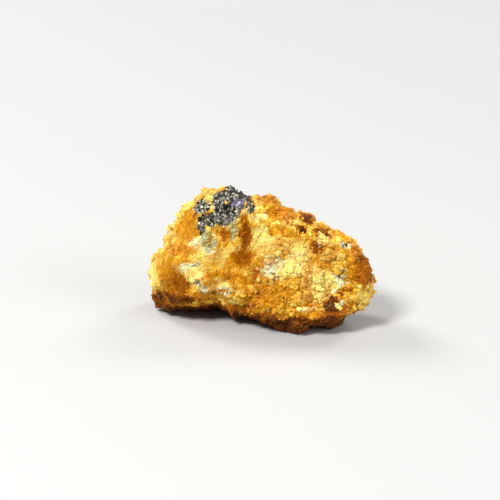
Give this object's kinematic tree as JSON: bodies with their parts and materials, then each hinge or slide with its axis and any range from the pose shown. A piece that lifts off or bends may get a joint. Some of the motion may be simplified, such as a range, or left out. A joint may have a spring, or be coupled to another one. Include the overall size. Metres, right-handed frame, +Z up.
{
  "type": "carpholite specimen",
  "caption": "Thumb-sized rough lump of fibrous straw-yellow carpholite, rust-stained, with a dark metallic oxide patch at its crest; it lies loose on its flattest side.",
  "frame": {"origin": "on the surface that the stone lies on, under the middle of its bounding box", "axes": "+Z up, +X along its length towards the low right end, +Y away from the bright front face"},
  "size_m": [0.0296, 0.0188, 0.017],
  "materials": {
    "carpholite": "rough broken stone, silky straw-yellow to rust-brown fibres and sugary grains",
    "dark_oxide": "dark grey-blue metallic grains of manganese oxide, seated in the stone's crust"
  },
  "bodies": {
    "root": {"carpholite": "carpholite"}
  },
  "joints": []
}
